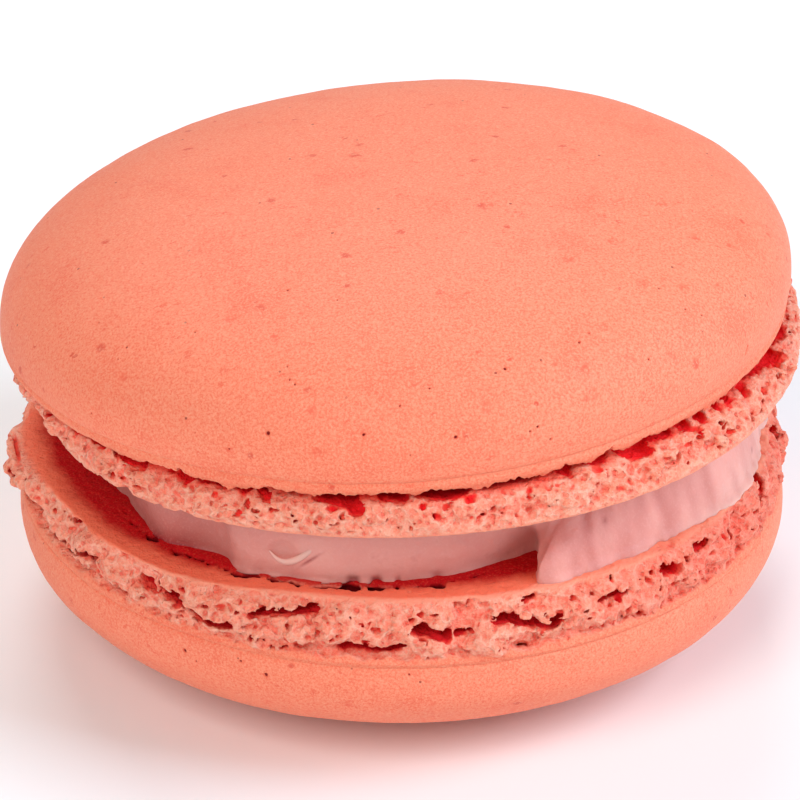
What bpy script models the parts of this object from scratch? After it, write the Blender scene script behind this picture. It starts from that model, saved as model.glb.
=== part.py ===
"""Filled macaron: two domed almond meringue shells with ruffled feet, and a layer of cream between.

It rests on the dome of its lower shell. The origin is the middle of the small flat spot that it
rests on, +Z is up and -Y is the front. Bearings are in degrees round +Z, counted from +X.
"""

import math
import random

import bmesh
import bpy
from mathutils import Vector, noise

MM = 0.001
BEARINGS = 120  # steps round every ring
GAP = 0.3 * MM  # kept between two pieces that touch

# Lower shell: its dome points down and its flat face up.
LOWER_RADIUS = 22.05 * MM
LOWER_WIDEST = 7.12 * MM  # height of the dome's widest ring
LOWER_DEPTH = 7.5 * MM  # a full dome of this depth, flattened where it rests
LOWER_SKIN_TOP = 8.85 * MM  # where the smooth skin ends and the foot starts
LOWER_FACE = 11.85 * MM  # the flat face that carries the cream
LOWER_RIM_RADIUS = 20.5 * MM
LOWER_RIM_WIDER = 1.45 * MM  # the rim reaches this much further out on the left
LOWER_LEDGE = 0.25 * MM  # step in from the skin to the foot

# Upper shell: flat face down. It has baked a little askew, so each level has its own slope.
UPPER_RADIUS = 22.4 * MM
UPPER_OFFSET = -0.4 * MM  # the dome's centre along X
UPPER_WIDEST = 19.9 * MM
UPPER_WIDEST_SLOPE = (0.076, -0.06)
UPPER_RISE = 7.7 * MM
UPPER_LIP_RADIUS = 21.9 * MM
UPPER_LIP_LEAST_DROP = 0.75 * MM  # least, from the widest ring down to the edge of the skin
UPPER_FACE = 16.93 * MM
UPPER_FACE_SLOPE = (0.052, 0.0)
UPPER_FOOT_RADIUS = 22.35 * MM
UPPER_FOOT_FLARE = 0.95 * MM  # the foot spreads by this at the front right
UPPER_FOOT_TALL = 2.35 * MM  # from the flat face up to the edge of the skin
UPPER_FOOT_LOWER = 0.5 * MM  # the foot is this much lower on the right

DOME_POWER_LOWER = 2.23
DOME_POWER_UPPER = 2.36

# Cream
CREAM_RADIUS = 18.3 * MM
CREAM_SWELL_RADIUS = 21.0 * MM
CREAM_EDGE = 0.35 * MM  # how far the cream's wall draws in at its top and bottom

# Ruffles of a foot
LUMP_SIZE = 3.4 * MM
LUMP_HEIGHT = 0.6 * MM
SMALL_HOLLOWS = 26

# Larger hollows: bearing, share of the foot's height, half width, half height, depth.
LOWER_HOLLOWS = (
    (-152.0, 0.30, 1.2 * MM, 0.5 * MM, 0.9 * MM),
    (-133.0, 0.22, 0.9 * MM, 0.6 * MM, 0.9 * MM),
    (-125.0, 0.50, 1.1 * MM, 0.6 * MM, 1.0 * MM),
    (-120.0, 0.20, 1.3 * MM, 0.4 * MM, 1.0 * MM),
    (-112.0, 0.45, 1.3 * MM, 0.4 * MM, 0.9 * MM),
    (-96.0, 0.12, 1.9 * MM, 0.4 * MM, 0.8 * MM),
    (-82.0, 0.35, 1.9 * MM, 0.4 * MM, 0.8 * MM),
    (-70.0, 0.35, 1.6 * MM, 0.5 * MM, 0.8 * MM),
    (-50.0, 0.50, 1.7 * MM, 0.6 * MM, 0.6 * MM),
)
UPPER_HOLLOWS = (
    (-137.0, 0.95, 2.0 * MM, 0.4 * MM, 0.6 * MM),
    (-119.0, 0.90, 1.7 * MM, 0.5 * MM, 0.9 * MM),
    (-98.0, 0.85, 1.9 * MM, 0.6 * MM, 0.9 * MM),
    (-85.0, 0.90, 1.6 * MM, 0.5 * MM, 0.9 * MM),
    (-61.0, 0.90, 1.3 * MM, 0.5 * MM, 0.8 * MM),
    (-52.0, 0.80, 2.2 * MM, 0.6 * MM, 0.9 * MM),
    (-27.0, 0.90, 2.4 * MM, 0.6 * MM, 0.6 * MM),
)


def swelling(bearing, centre, width, power=2):
    """A smooth swelling round one bearing: 1 at its centre and near 0 beyond its width."""
    turn = (bearing - centre + 180.0) % 360.0 - 180.0
    return math.exp(-abs(turn / width) ** power)


def eased(value, low, high):
    """0 below low, 1 above high and smooth between them."""
    share = min(max((value - low) / (high - low), 0.0), 1.0)
    return share * share * (3.0 - 2.0 * share)


def small_hollows(seed):
    """Hollows spread unevenly round a foot."""
    chance = random.Random(seed)
    return tuple(
        (
            360.0 * (i + chance.uniform(-0.4, 0.4)) / SMALL_HOLLOWS,
            chance.uniform(0.2, 0.85),
            chance.uniform(0.7, 1.4) * MM,
            chance.uniform(0.3, 0.5) * MM,
            chance.uniform(0.2, 0.5) * MM,
        )
        for i in range(SMALL_HOLLOWS)
    )


def ruffle(bearing, share, height, radius, hollows, seed):
    """How far a foot's wall stands out from its plain form, or in from it where negative."""
    turn = math.radians(bearing)
    spot = Vector((math.cos(turn), math.sin(turn), 0.0)) * radius / LUMP_SIZE
    spot.z = seed + share * height / LUMP_SIZE
    out = LUMP_HEIGHT * (noise.noise(spot) + 0.5 * noise.noise(spot * 2.3))
    for centre, level, half_width, half_height, depth in hollows:
        width = math.degrees(half_width / radius)
        across = swelling(bearing, centre, width)
        out -= depth * across * math.exp(-(((share - level) * height / half_height) ** 2))
    return out


def dome_ring(radius, rise, power, angle):
    """Radius and rise of the ring at this angle above the widest ring of a flattened dome."""
    return (
        radius * math.cos(angle) ** (2.0 / power),
        rise * math.sin(angle) ** (2.0 / power),
    )


def lower_rim_radius(bearing):
    return (
        LOWER_RIM_RADIUS
        + LOWER_RIM_WIDER * swelling(bearing, -165.0, 53.0, 8)
        + 0.6 * MM * swelling(bearing, 0.0, 70.0, 4)
    )


def upper_foot_radius(bearing):
    return (
        UPPER_FOOT_RADIUS
        + UPPER_FOOT_FLARE * swelling(bearing, -45.0, 38.0)
        - 0.35 * MM * swelling(bearing, 180.0, 40.0)
    )


def cream_radius(bearing):
    plain = (
        CREAM_RADIUS
        + 0.9 * MM * swelling(bearing, -122.0, 26.0)
        - 1.6 * MM * swelling(bearing, 180.0, 30.0)
        - 1.5 * MM * swelling(bearing, -64.0, 14.0)
    )
    swell = eased(bearing, -65.0, -61.0) * (1.0 - eased(bearing, 35.0, 75.0))
    return plain + (CREAM_SWELL_RADIUS - plain) * swell


def sloped(level, slope, x, y):
    return level + slope[0] * x + slope[1] * y


def upper_face_at(x, y):
    return sloped(UPPER_FACE, UPPER_FACE_SLOPE, x, y)


def polar(radius, bearing):
    turn = math.radians(bearing)
    return radius * math.cos(turn), radius * math.sin(turn)


def lower_point(ring, bearing, hollows):
    """The lower shell's surface on one ring, at one bearing."""
    kind, place = ring
    if kind == "dome":
        radius, fall = dome_ring(LOWER_RADIUS, LOWER_DEPTH, DOME_POWER_LOWER, place)
        height = max(LOWER_WIDEST - fall, 0.0)
    elif kind == "foot":
        tall = LOWER_FACE - LOWER_SKIN_TOP
        height = LOWER_SKIN_TOP + place * tall
        rim = lower_rim_radius(bearing)
        bulge = 0.3 * MM * math.sin(math.pi * place)
        radius = LOWER_RADIUS + (rim - LOWER_RADIUS) * place**1.4 + bulge
        radius -= LOWER_LEDGE * (1.0 - place)
        free = eased(place, 0.0, 0.12) * (1.0 - 0.7 * eased(place, 0.85, 1.0))
        radius += free * ruffle(bearing, place, tall, LOWER_RADIUS, hollows, 3.0)
        tongue = swelling(bearing, -166.0, 9.0) * math.exp(-(((place - 0.72) / 0.2) ** 2))
        radius += 0.75 * MM * tongue
    else:
        radius = place * lower_rim_radius(bearing)
        height = LOWER_FACE
    x, y = polar(radius, bearing)
    return x, y, height


def upper_point(ring, bearing, hollows):
    """The upper shell's surface on one ring, at one bearing."""
    kind, place = ring
    if kind == "dome":
        radius, rise = dome_ring(UPPER_RADIUS, UPPER_RISE, DOME_POWER_UPPER, place)
        x, y = polar(radius, bearing)
        height = sloped(UPPER_WIDEST, UPPER_WIDEST_SLOPE, x, y) + rise
        return x + UPPER_OFFSET, y, height
    if kind == "face":
        x, y = polar(place * upper_foot_radius(bearing), bearing)
        return x, y, upper_face_at(x, y)
    x, y = polar(UPPER_LIP_RADIUS, bearing)
    widest = sloped(UPPER_WIDEST, UPPER_WIDEST_SLOPE, x, y)
    face = upper_face_at(x, y)
    tall = UPPER_FOOT_TALL - UPPER_FOOT_LOWER * swelling(bearing, 0.0, 28.0)
    spare = widest - UPPER_LIP_LEAST_DROP - face - tall
    tall += 0.5 * (spare - math.hypot(spare, 0.3 * MM))
    if kind == "lip":
        lip = face + tall
        radius = UPPER_LIP_RADIUS + (UPPER_RADIUS - UPPER_LIP_RADIUS) * place**0.5
        height = lip + (widest - lip) * place
        x, y = polar(radius, bearing)
        return x + UPPER_OFFSET, y, height
    foot = upper_foot_radius(bearing)
    lip_radius = UPPER_LIP_RADIUS + UPPER_OFFSET * math.cos(math.radians(bearing))
    radius = foot + (lip_radius - foot) * place**1.3
    radius += 0.25 * MM * math.sin(math.pi * place)
    free = eased(place, 0.0, 0.25)
    radius += free * ruffle(bearing, place, tall, UPPER_RADIUS, hollows, 11.0)
    x, y = polar(radius, bearing)
    return x, y, upper_face_at(x, y) + tall * place


def cream_point(ring, bearing, _):
    """The cream's surface on one ring, at one bearing. A ring's place runs from 0 below to 1."""
    kind, place = ring
    radius = cream_radius(bearing)
    if kind == "face":
        radius *= 0.5
    else:
        radius -= CREAM_EDGE * abs(2.0 * place - 1.0) ** 3
    x, y = polar(radius, bearing)
    low = LOWER_FACE + GAP
    high = upper_face_at(x, y) - GAP
    return x, y, low + (high - low) * place


def turned_solid(name, rings, centre, point_at, hollows, collection):
    """Spins a profile of rings round Z, then moves each vertex to where the surface lies."""
    mesh = bmesh.new()
    ring_of = mesh.verts.layers.int.new("ring")
    ends = (centre[0], None, centre[1])
    profile = [mesh.verts.new((0.0, 0.0, ends[0]))]
    for number in range(len(rings)):
        share = (number + 1) / (len(rings) + 1)
        vertex = mesh.verts.new((1.0, 0.0, ends[0] + (ends[2] - ends[0]) * share))
        vertex[ring_of] = number + 1
        profile.append(vertex)
    profile.append(mesh.verts.new((0.0, 0.0, ends[2])))
    edges = [mesh.edges.new(pair) for pair in zip(profile, profile[1:])]
    bmesh.ops.spin(
        mesh,
        geom=profile + edges,
        cent=(0.0, 0.0, 0.0),
        axis=(0.0, 0.0, 1.0),
        dvec=(0.0, 0.0, 0.0),
        angle=math.tau,
        steps=BEARINGS,
        use_merge=True,
        use_duplicate=False,
    )
    bmesh.ops.remove_doubles(mesh, verts=mesh.verts, dist=0.0001)
    for vertex in mesh.verts:
        number = vertex[ring_of]
        if number:
            bearing = math.degrees(math.atan2(vertex.co.y, vertex.co.x))
            vertex.co = point_at(rings[number - 1], bearing, hollows)
    bmesh.ops.recalc_face_normals(mesh, faces=mesh.faces)
    data = bpy.data.meshes.new(name)
    mesh.to_mesh(data)
    mesh.free()
    solid = bpy.data.objects.new(name, data)
    collection.objects.link(solid)
    return solid


def coloured(solid, name, colour, roughness):
    material = bpy.data.materials.new(name)
    material.use_nodes = True
    surface = material.node_tree.nodes["Principled BSDF"]
    surface.inputs["Base Color"].default_value = (*colour, 1.0)
    surface.inputs["Roughness"].default_value = roughness
    surface.inputs["Metallic"].default_value = 0.0
    material.diffuse_color = (*colour, 1.0)
    solid.data.materials.append(material)


def lower_rings():
    """Rings of the lower shell from the flat spot up to its rim, and one inside the rim."""
    steep = math.asin((LOWER_WIDEST / LOWER_DEPTH) ** (DOME_POWER_LOWER / 2.0))
    dome = [("dome", steep * (1.0 - i / 6.0)) for i in range(7)]
    foot = [("foot", share) for share in (0.0, 0.12, 0.27, 0.42, 0.57, 0.72, 0.87, 1.0)]
    return dome + foot + [("face", 0.93)]


def upper_rings():
    """Rings of the upper shell from just inside its flat face's edge up to the crown."""
    foot = [("foot", share) for share in (0.0, 0.14, 0.32, 0.5, 0.68, 0.86, 1.0)]
    lip = [("lip", share) for share in (0.12, 0.5)]
    dome = [("dome", 0.5 * math.pi * i / 7.0) for i in range(7)]
    return [("face", 0.93)] + foot + lip + dome


def cream_rings():
    wall = [("wall", share) for share in (0.0, 0.2, 0.5, 0.8, 1.0)]
    return wall


def main():
    for leftover in list(bpy.data.objects):
        bpy.data.objects.remove(leftover, do_unlink=True)
    macaron = bpy.data.collections.new("macaron")
    bpy.context.scene.collection.children.link(macaron)
    lower = turned_solid(
        "bottom_shell",
        lower_rings(),
        (0.0, LOWER_FACE),
        lower_point,
        LOWER_HOLLOWS + small_hollows(5),
        macaron,
    )
    coloured(lower, "baked_meringue_bottom", (0.93, 0.31, 0.21), 0.75)
    cream = turned_solid(
        "filling",
        cream_rings(),
        (LOWER_FACE + GAP, UPPER_FACE - GAP),
        cream_point,
        (),
        macaron,
    )
    coloured(cream, "pink_cream", (0.75, 0.38, 0.36), 0.6)
    upper = turned_solid(
        "top_shell",
        upper_rings(),
        (UPPER_FACE, UPPER_WIDEST + UPPER_RISE),
        upper_point,
        UPPER_HOLLOWS + small_hollows(8),
        macaron,
    )
    coloured(upper, "baked_meringue_top", (0.95, 0.33, 0.22), 0.75)


main()
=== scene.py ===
"""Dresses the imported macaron: baked skins, porous feet and cream round the fixed frame.

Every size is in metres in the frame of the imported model: the macaron rests on Z = 0 at the
origin and its front faces -Y. Bearings are in degrees round +Z, counted from +X.
"""

import math
import random

import bmesh
import bpy
import numpy as np
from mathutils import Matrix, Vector, noise


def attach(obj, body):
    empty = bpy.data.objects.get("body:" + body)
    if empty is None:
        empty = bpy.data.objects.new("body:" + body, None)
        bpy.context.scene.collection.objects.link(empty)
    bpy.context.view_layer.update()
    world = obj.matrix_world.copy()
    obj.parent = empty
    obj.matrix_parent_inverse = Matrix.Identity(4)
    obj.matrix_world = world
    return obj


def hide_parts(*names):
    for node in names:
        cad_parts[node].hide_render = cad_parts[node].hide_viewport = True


bl_info = {
    "name": "Macaron dresser",
    "version": (1, 0, 0),
    "blender": (4, 5, 0),
    "location": "View3D > Sidebar > Macaron",
    "description": "Dresses a packed macaron with its skins, feet and cream",
    "category": "Object",
}

MM = 0.001
TURN = math.pi / 180.0

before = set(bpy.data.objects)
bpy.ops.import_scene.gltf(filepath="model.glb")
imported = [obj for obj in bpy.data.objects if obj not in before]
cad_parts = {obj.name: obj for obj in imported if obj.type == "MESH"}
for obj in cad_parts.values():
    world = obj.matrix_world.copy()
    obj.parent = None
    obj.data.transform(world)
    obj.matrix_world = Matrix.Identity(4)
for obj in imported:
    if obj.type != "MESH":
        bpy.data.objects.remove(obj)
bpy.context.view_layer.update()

UPPER_FACE_SLOPE = (0.052, 0.0)
UPPER_WIDEST_SLOPE = (0.076, -0.06)
LOWER_POWER = 2.23
UPPER_POWER = 2.36
FLATTENED = 1.35  # hollows in the feet are this much wider than tall
RING = 22.0 * MM  # radius of the ring on which a foot's strip has its true length
OUTSIDE = 23.6 * MM  # radius at the outer side of the strip
BEND = 4.0e4  # makes the strip's grain coarser towards the middle
UPPER_BAND = 0.78 * MM  # height of the band of skin over the upper foot, up to its crease
LOWER_BAND = 0.55 * MM
SEAM = 0.002 * MM  # corners of a foot's two ends that lie closer than this are joined
SMALLEST_BODY = 20000.0  # a body with fewer corners than this is a loose bubble
MOST_TRIANGLES = 196000  # of one foot
LAMP_AWAY = 0.55
FRONT = -90.0  # the bearing that the camera looks from
CAMERA_LIFT = 29.74
CAMERA_AWAY = 288.0 * MM

# Hollows in the front of each foot: a radius in mm, then points along the hollow, each a bearing
# and a share of the foot's height counted from the shell's flat face.
UPPER_HOLLOWS = (
    (0.32, (-147, 0.92), (-143, 0.90)),
    (0.34, (-139.5, 0.90), (-137.5, 0.92)),
    (0.30, (-134.5, 0.88), (-132.5, 0.84), (-130, 0.80)),
    (0.20, (-126, 0.94), (-125, 0.86)),
    (0.26, (-123, 0.86), (-121.5, 0.80)),
    (0.32, (-120.5, 0.94), (-118.5, 0.92), (-117, 0.94), (-116, 0.88)),
    (0.22, (-115, 1.00), (-113.7, 0.88), (-112.5, 0.82)),
    (0.20, (-110.6, 0.86), (-109, 0.74)),
    (0.25, (-106.6, 0.92), (-104.2, 0.92)),
    (0.38, (-101.3, 0.88), (-99.2, 0.84), (-97.2, 0.78), (-96.3, 0.66)),
    (0.26, (-92.6, 0.86), (-90.2, 0.80)),
    (0.18, (-88.8, 1.00), (-87.7, 0.98)),
    (0.36, (-87.0, 0.92), (-85.0, 0.85), (-83.2, 0.85), (-81.6, 0.90)),
    (0.24, (-80.2, 0.95), (-78.3, 0.95), (-76.2, 0.96)),
    (0.22, (-72.3, 1.03), (-70.3, 0.98)),
    (0.25, (-66.7, 0.88), (-65.4, 0.80)),
    (0.28, (-62.8, 0.94), (-60.8, 0.86), (-59.5, 0.90)),
    (0.40, (-56.0, 0.88), (-54.9, 0.79), (-53.2, 0.77)),
    (0.30, (-51.5, 0.90), (-48.2, 0.86)),
    (0.26, (-45.3, 0.83), (-44.2, 0.78)),
    (0.30, (-41.4, 0.78)),
    (0.26, (-39.5, 0.56)),
    (0.30, (-37.6, 0.80)),
    (0.30, (-34.6, 0.82)),
    (0.24, (-31.0, 0.70)),
    (0.36, (-28.0, 0.92), (-25.0, 0.88), (-22.0, 0.80), (-19.0, 0.70)),
    (0.30, (-17.0, 0.90), (-12.5, 0.75)),
    (0.17, (-79.2, 0.39)),
    (0.13, (-69.5, 0.35)),
    (0.13, (-85.8, 0.44)),
    (0.14, (-99.7, 0.44)),
    (0.12, (-62.3, 0.54)),
)
LOWER_HOLLOWS = (
    (0.30, (-145.8, 0.60), (-142.5, 0.52), (-141.0, 0.62)),
    (0.16, (-135.8, 0.82), (-136.1, 1.02)),
    (0.32, (-130.6, 0.46), (-128.9, 0.52)),
    (0.30, (-126.5, 0.38), (-124.0, 0.42), (-122.4, 0.52), (-120.9, 0.64), (-119.6, 0.74)),
    (0.34, (-118.9, 0.76), (-117.5, 0.72), (-115.8, 0.72)),
    (0.24, (-111.8, 0.42), (-109.3, 0.34), (-106.4, 0.30), (-103.2, 0.27)),
    (0.14, (-99.1, 0.18)),
    (0.24, (-97.9, 0.86), (-95.9, 0.84), (-94.2, 0.90), (-91.6, 0.84), (-90.0, 0.78)),
    (0.28, (-87.6, 0.47), (-85.7, 0.54), (-83.8, 0.61)),
    (0.16, (-82.1, 0.62), (-79.9, 0.61)),
    (0.26, (-75.7, 0.39), (-73.9, 0.42), (-72.1, 0.52), (-70.6, 0.58)),
    (0.32, (-68.5, 0.62), (-67.2, 0.58)),
    (0.18, (-71.6, 0.16), (-70.0, 0.16)),
    (0.25, (-59.3, 0.44), (-57.6, 0.41), (-55.8, 0.39)),
    (0.16, (-57.1, 0.12)),
    (0.30, (-48.0, 0.32), (-45.8, 0.40)),
    (0.16, (-43.4, 0.34)),
    (0.30, (-41.0, 0.22), (-38.7, 0.25)),
    (0.24, (-32.6, 0.46)),
    (0.34, (-19.9, 0.12), (-20.8, 0.30)),
)
# Holes in the lower shell's flat face, beside the cream: bearing, radius out and half width in mm.
FACE_HOLES = (
    (-98.9, 19.30, 0.44),
    (-97.8, 19.30, 0.44),
    (-94.6, 19.25, 0.40),
    (-93.8, 19.25, 0.40),
    (-90.6, 19.05, 0.28),
    (-88.9, 19.75, 0.14),
    (-84.6, 18.95, 0.26),
    (-83.6, 19.10, 0.30),
    (-82.8, 19.75, 0.14),
)
# Pits in a skin: bearing, share of the way out from the crown, radius and depth in mm.
UPPER_PITS = (
    (-107.6, 0.885, 0.16, 0.14),
    (-94.2, 0.885, 0.13, 0.12),
    (-81.6, 0.905, 0.14, 0.12),
    (-73.2, 0.779, 0.11, 0.11),
    (-60.3, 0.762, 0.11, 0.11),
    (-70.1, 0.914, 0.09, 0.10),
    (-71.2, 0.921, 0.09, 0.10),
    (-113.1, 0.927, 0.07, 0.08),
    (-118.5, 0.904, 0.07, 0.08),
    (-84.8, 0.797, 0.07, 0.08),
    (-87.8, 0.933, 0.07, 0.08),
    (-89.2, 0.829, 0.07, 0.08),
    (-68.3, 0.948, 0.07, 0.08),
    (-137.0, 0.925, 0.07, 0.08),
    (-100.4, 0.917, 0.32, 0.045),
    (-101.9, 0.836, 0.38, 0.030),
    (-61.3, 0.821, 0.40, 0.040),
    (-61.7, 0.878, 0.42, 0.045),
    (-54.0, 0.829, 0.36, 0.035),
    (-77.1, 0.854, 0.40, 0.030),
    (-30.7, 0.941, 0.09, 0.11),
    (-31.0, 0.947, 0.10, 0.12),
    (-31.3, 0.954, 0.09, 0.11),
    (20.0, 0.800, 0.12, 0.11),
    (95.0, 0.860, 0.14, 0.12),
    (150.0, 0.700, 0.11, 0.10),
)
# Fine pits and shallow flecks in the upper skin: bearing and share of the way out.
UPPER_SPECKS = (
    ((-152, 0.59), (-145, 0.75), (-136, 0.55), (-136, 0.77), (-136, 0.80), (-126, 0.69))
    + ((-114, 0.53), (-107, 0.74), (-106, 0.77), (-105, 0.78), (-102, 0.55), (-58, 0.75))
    + ((-51, 0.85), (-47, 0.75), (-41, 0.72), (-40, 0.79), (-38, 0.82), (-24, 0.67))
)
UPPER_FLECKS = (
    ((-133, 0.83), (-121, 0.64), (-111, 0.67), (-55, 0.75), (-50, 0.55), (-47, 0.86), (-43, 0.69))
    + ((-37, 0.56), (-37, 0.75), (-29, 0.49), (-23, 0.68), (-20, 0.75), (-16, 0.58), (43, 0.95))
)
SPECK = (0.07, 0.08)  # radius and depth of each, in mm
FLECK = (0.35, 0.038)
LOWER_PITS = (
    (-122.6, 0.962, 0.14, 0.13),
    (-109.6, 0.956, 0.15, 0.13),
    (-113.5, 0.975, 0.08, 0.08),
    (-120.6, 0.946, 0.08, 0.08),
    (-88.9, 0.985, 0.08, 0.08),
    (60.0, 0.850, 0.13, 0.12),
    (160.0, 0.900, 0.14, 0.13),
)
BLEMISH = 0.3  # a pit wider than this, in mm, is a shallow blemish
# The cream's outline from above, where it isn't the plain rule: bearing and radius in mm.
CREAM_OUTLINE = (
    (-147.0, 17.95),
    (-140.0, 18.60),
    (-132.5, 19.20),
    (-127.0, 18.85),
    (-121.0, 18.70),
    (-117.0, 19.25),
    (-111.0, 19.15),
    (-103.0, 18.95),
    (-99.0, 18.85),
    (-90.0, 18.50),
    (-82.0, 18.15),
    (-77.0, 17.75),
    (-71.0, 17.30),
    (-66.8, 17.00),
    (-64.2, 16.95),
    (-64.0, 17.60),
    (-66.4, 19.00),
    (-68.5, 20.00),
    (-68.0, 20.40),
    (-64.0, 20.30),
    (-57.0, 20.10),
    (-50.0, 20.00),
    (-43.0, 20.20),
    (-37.0, 20.50),
    (-32.0, 20.90),
    (-25.0, 20.80),
    (-14.0, 20.70),
)
CREAM_DRAWN_IN = CREAM_OUTLINE[:13]


# Sums that work on numbers and arrays, and on the sockets of a node tree.


def feed(tree, socket, value):
    if isinstance(value, Term):
        tree.links.new(value.socket, socket)
    else:
        socket.default_value = value


class Term:
    """A value in a node tree. Sums written with it add the Math nodes that work them out."""

    def __init__(self, tree, socket):
        self.tree = tree
        self.socket = socket

    def __add__(self, other):
        return worked("ADD", None, self, other)

    def __sub__(self, other):
        return worked("SUBTRACT", None, self, other)

    def __rsub__(self, other):
        return worked("SUBTRACT", None, other, self)

    def __mul__(self, other):
        return worked("MULTIPLY", None, self, other)

    def __truediv__(self, other):
        return worked("DIVIDE", None, self, other)

    def __rtruediv__(self, other):
        return worked("DIVIDE", None, other, self)

    def __pow__(self, other):
        return worked("POWER", None, self, other)

    def __neg__(self):
        return worked("MULTIPLY", None, self, -1.0)

    __radd__ = __add__
    __rmul__ = __mul__


def worked(operation, numeric, *values):
    """numeric(*values), or the Math node for it where one of the values is a Term."""
    term = next((value for value in values if isinstance(value, Term)), None)
    if term is None:
        return numeric(*values)
    node = term.tree.nodes.new("ShaderNodeMath")
    node.operation = operation
    for socket, value in zip(node.inputs, values):
        feed(term.tree, socket, value)
    return Term(term.tree, node.outputs[0])


def exponent(value):
    return worked("EXPONENT", np.exp, value)


def size_of(value):
    return worked("ABSOLUTE", np.abs, value)


def sine(value):
    return worked("SINE", np.sin, value)


def cosine(value):
    return worked("COSINE", np.cos, value)


def smaller(a, b):
    return worked("MINIMUM", np.minimum, a, b)


def larger(a, b):
    return worked("MAXIMUM", np.maximum, a, b)


def rounded_smaller(a, b, blend):
    return worked("SMOOTH_MIN", None, a, b, blend)


def held(value, low=0.0, high=1.0):
    return larger(smaller(value, high), low)


def wrapped(bearing):
    def rule(turn, high, low):
        return (turn - low) % (high - low) + low

    return worked("WRAP", rule, bearing, 180.0, -180.0)


def swelling(bearing, centre, width, power=2.0):
    """A smooth swelling round one bearing: 1 at its centre and near 0 beyond its width."""
    return exponent(-((size_of(wrapped(bearing - centre)) / width) ** power))


def hump(value, centre, width):
    """A smooth hump along a line: 1 at its centre and near 0 beyond its width."""
    off = (value - centre) / width
    return exponent(-(off * off))


def eased(value, low, high):
    """0 below low, 1 above high and smooth between them."""
    share = held((value - low) / (high - low))
    return share * share * (3.0 - 2.0 * share)


# The macaron's own rules.


def sloped(level, slope, x, y):
    return level + slope[0] * x + slope[1] * y


def lower_rim_radius(sizes, bearing):
    return (
        sizes.rim_radius
        + 1.45 * MM * swelling(bearing, -165.0, 53.0, 8.0)
        + 0.6 * MM * swelling(bearing, 0.0, 70.0, 4.0)
    )


def upper_foot_radius(sizes, bearing):
    return (
        sizes.upper_foot_radius
        + sizes.upper_foot_flare * swelling(bearing, -45.0, 38.0)
        - 1.35 * MM * swelling(bearing, -172.0, 26.0, 2.5)
    )


def upper_lip(sizes, bearing):
    """Of the edge of the upper skin: its height above the flat face, and on to the widest ring."""
    x = sizes.upper_lip_radius * cosine(bearing * TURN)
    y = sizes.upper_lip_radius * sine(bearing * TURN)
    widest = sloped(sizes.upper_widest, UPPER_WIDEST_SLOPE, x, y)
    face = sloped(sizes.upper_face, UPPER_FACE_SLOPE, x, y)
    tall = sizes.upper_foot_tall - 0.5 * MM * swelling(bearing, 0.0, 28.0)
    spare = widest - 0.75 * MM - face - tall
    tall = tall + 0.5 * (spare - (spare * spare + (0.3 * MM) ** 2) ** 0.5)
    return tall, widest - face - tall


def upper_skin_radius(sizes, bearing, above, rise):
    """Radius of the upper skin at a height above its edge, where its widest ring is at rise."""
    spread = held(above / rise) ** 0.5 * (sizes.upper_radius - sizes.upper_lip_radius)
    return sizes.upper_lip_radius + spread + sizes.upper_offset * cosine(bearing * TURN)


def lower_skin_radius(sizes, height):
    """Radius of the lower skin between its widest ring and its edge."""
    share = held((height - sizes.lower_widest) / (sizes.lower_skin_top - sizes.lower_widest))
    return sizes.lower_radius - 0.2 * MM * share


def lower_foot_wall(sizes, bearing, up, share):
    """Radius of the lower foot's plain wall, at a share of its height down from the rim."""
    rim = lower_rim_radius(sizes, bearing)
    wall = sizes.lower_radius + (rim - sizes.lower_radius) * larger(1.0 - share, 0.0) ** 1.4
    wall = wall + 0.3 * MM * sine(math.pi * held(share)) - 0.25 * MM * held(share)
    ridge = eased(up, 0.0, 0.3 * MM) * (1.0 - eased(up, 1.1 * MM, 2.3 * MM))
    wall = wall - 0.55 * MM * swelling(bearing, 180.0, 45.0, 4.0)
    return wall + 0.95 * MM * swelling(bearing, -169.0, 9.0, 4.0) * ridge


def upper_foot_wall(sizes, bearing, share):
    """Radius of the upper foot's plain wall, at a share of its height up from the flat face."""
    rise = held(share)
    foot = upper_foot_radius(sizes, bearing)
    lip = sizes.upper_lip_radius + sizes.upper_offset * cosine(bearing * TURN)
    wall = foot + (lip - foot) * rise**1.3 + 0.25 * MM * sine(math.pi * rise)
    return wall - 0.35 * MM * hump(share, 0.92, 0.14)


def cream_radius(sizes, bearing):
    plain = (
        sizes.cream_radius
        + 0.9 * MM * swelling(bearing, -122.0, 26.0)
        - 1.6 * MM * swelling(bearing, 180.0, 30.0)
        - 1.5 * MM * swelling(bearing, -64.0, 14.0)
    )
    swell = eased(bearing, -65.0, -62.5) * (1.0 - eased(bearing, 35.0, 75.0))
    return plain + (sizes.cream_swell_radius - plain) * swell


# Trees of Geometry Nodes and materials.


def node_of(tree, kind, inputs=None, **settings):
    node = tree.nodes.new(kind)
    for key, value in settings.items():
        setattr(node, key, value)
    for key, value in (inputs or {}).items():
        feed(tree, node.inputs[key], value)
    return node


def through(tree, geometry, kind, inputs=None, **settings):
    """What a geometry becomes in one more of the Geometry Nodes."""
    node = node_of(tree, "GeometryNode" + kind, inputs, **settings)
    tree.links.new(geometry, node.inputs[0])
    return node.outputs[0]


def vector_of(tree, x, y, z):
    return Term(tree, node_of(tree, "ShaderNodeCombineXYZ", {0: x, 1: y, 2: z}).outputs[0])


def parts_of(tree, vector):
    node = node_of(tree, "ShaderNodeSeparateXYZ", {0: vector})
    return tuple(Term(tree, output) for output in node.outputs)


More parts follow.
